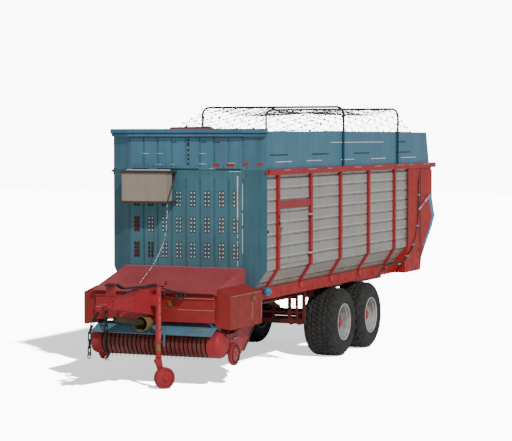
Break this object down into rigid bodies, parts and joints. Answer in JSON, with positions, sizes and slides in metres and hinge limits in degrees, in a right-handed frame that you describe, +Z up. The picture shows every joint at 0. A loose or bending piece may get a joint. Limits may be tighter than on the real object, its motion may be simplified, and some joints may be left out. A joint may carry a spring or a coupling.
{
  "type": "self-loading forage wagon",
  "caption": "Tandem-axle self-loading forage wagon: ribbed load body with net hoops, tined pickup and feed rotor in front, drawbar with jack, top-hinged tailgate.",
  "frame": {"origin": "on the ground under the middle of the wagon's overall length and width", "axes": "+X to the wagon's left side, +Y to its tailgate (the drawbar points to -Y), +Z up"},
  "size_m": [2.48, 10.647, 3.948],
  "materials": {
    "red_paint": "gloss paint, weathered",
    "hood_paint": "faded paint, dusty",
    "blue_paint": "faded paint, dusty",
    "wall_sheet": "grey coat, streaked",
    "box_sheet": "dull silver paint",
    "brown_paint": "rust brown edges",
    "blue_gloss": "bright gloss paint",
    "zinc_steel": "zinc plated",
    "floor_steel": "worn steel",
    "tine_steel": "spring steel, rusty",
    "band_steel": "paint, rubbed",
    "chain_steel": "oiled chain",
    "guard_plastic": "dirty yellow guard",
    "hose_rubber": "smooth rubber",
    "rope_cord": "pale twisted cord",
    "tyre_rubber": "farm tyre",
    "rim_grey": "grey paint"
  },
  "bodies": {
    "wagon": {"accumulator": "blue_gloss", "axles": "red_paint", "bogies": "red_paint", "carrier_frame": "red_paint", "control_box": "box_sheet", "control_box_frame": "brown_paint", "coupling_holder": "red_paint", "couplings": "zinc_steel", "cross_members": "red_paint", "drawbar": "red_paint", "drive_shaft": "red_paint", "feed_channel": "red_paint", "front_face": "hood_paint", "front_frame": "red_paint", "front_hood": "hood_paint", "front_top": "blue_paint", "front_wall": "blue_paint", "gearbox": "red_paint", "guard_bell": "guard_plastic", "hydraulic_hoses": "hose_rubber", "jack_tube": "red_paint", "load_floor": "floor_steel", "loading_flap": "red_paint", "main_beams": "red_paint", "pickup_hangers": "red_paint", "pto_shaft": "guard_plastic", "rear_frame": "red_paint", "roof_hoops": "blue_paint", "rope": "rope_cord", "scraper_slats": "floor_steel", "side_boxes": "hood_paint", "side_frames": "red_paint", "side_wall_left": "wall_sheet", "side_wall_right": "wall_sheet", "top_panels": "blue_paint", "tow_chains": "chain_steel", "towing_eye": "red_paint"},
    "tailgate": {"tailgate_sides": "red_paint", "tailgate_skin": "blue_paint"},
    "side_door": {"side_door": "wall_sheet"},
    "feed_rotor": {"feed_rotor": "red_paint"},
    "pickup": {"pickup_frame": "red_paint", "stripper_bands": "band_steel", "baffle": "blue_paint"},
    "pickup_reel": {"pickup_reel": "tine_steel"},
    "gauge_wheel_left": {"gauge_wheel_left": "red_paint"},
    "gauge_wheel_right": {"gauge_wheel_right": "red_paint"},
    "jack_leg": {"jack_leg": "red_paint"},
    "jack_wheel": {"jack_wheel": "red_paint"},
    "wheel_left_front": {"rim_left_front": "rim_grey", "tyre_left_front": "tyre_rubber"},
    "wheel_left_rear": {"rim_left_rear": "rim_grey", "tyre_left_rear": "tyre_rubber"},
    "wheel_right_front": {"rim_right_front": "rim_grey", "tyre_right_front": "tyre_rubber"},
    "wheel_right_rear": {"rim_right_rear": "rim_grey", "tyre_right_rear": "tyre_rubber"}
  },
  "joints": [
    {"name": "tailgate_hinge", "type": "hinge", "parent": "wagon", "child": "tailgate", "pos_m": [0, 5.1035, 2.845], "axis": [1, 0, 0], "range_deg": [0, 70]},
    {"name": "side_door_hinge", "type": "hinge", "parent": "wagon", "child": "side_door", "pos_m": [1.227, -0.8685, 1.605], "axis": [0, 0, 1], "range_deg": [0, 100]},
    {"name": "feed_rotor_spin", "type": "hinge", "parent": "wagon", "child": "feed_rotor", "pos_m": [0, -2.4915, 0.85], "axis": [1, 0, 0], "continuous": true},
    {"name": "pickup_lift", "type": "hinge", "parent": "wagon", "child": "pickup", "pos_m": [0, -2.5115, 0.8], "axis": [1, 0, 0], "range_deg": [0, 18]},
    {"name": "pickup_reel_spin", "type": "hinge", "parent": "pickup", "child": "pickup_reel", "pos_m": [0, -3.6115, 0.6], "axis": [1, 0, 0], "continuous": true},
    {"name": "jack_slide", "type": "slide", "parent": "wagon", "child": "jack_leg", "axis": [0, 0, 1], "range_m": [0, 0.15]},
    {"name": "jack_wheel_spin", "type": "hinge", "parent": "jack_leg", "child": "jack_wheel", "pos_m": [0.26111, -3.98004, 0.15], "axis": [0.8192, -0.5736, 0], "continuous": true},
    {"name": "gauge_wheel_left_spin", "type": "hinge", "parent": "pickup", "child": "gauge_wheel_left", "pos_m": [1.009, -3.3015, 0.444], "axis": [1, 0, 0], "continuous": true},
    {"name": "gauge_wheel_right_spin", "type": "hinge", "parent": "pickup", "child": "gauge_wheel_right", "pos_m": [-1.009, -3.3015, 0.444], "axis": [1, 0, 0], "continuous": true},
    {"name": "wheel_left_front_spin", "type": "hinge", "parent": "wagon", "child": "wheel_left_front", "pos_m": [0.965, 0.5935, 0.54], "axis": [1, 0, 0], "continuous": true},
    {"name": "wheel_left_rear_spin", "type": "hinge", "parent": "wagon", "child": "wheel_left_rear", "pos_m": [0.965, 1.8625, 0.54], "axis": [1, 0, 0], "continuous": true},
    {"name": "wheel_right_front_spin", "type": "hinge", "parent": "wagon", "child": "wheel_right_front", "pos_m": [-0.965, 0.5935, 0.54], "axis": [1, 0, 0], "continuous": true},
    {"name": "wheel_right_rear_spin", "type": "hinge", "parent": "wagon", "child": "wheel_right_rear", "pos_m": [-0.965, 1.8625, 0.54], "axis": [1, 0, 0], "continuous": true}
  ]
}
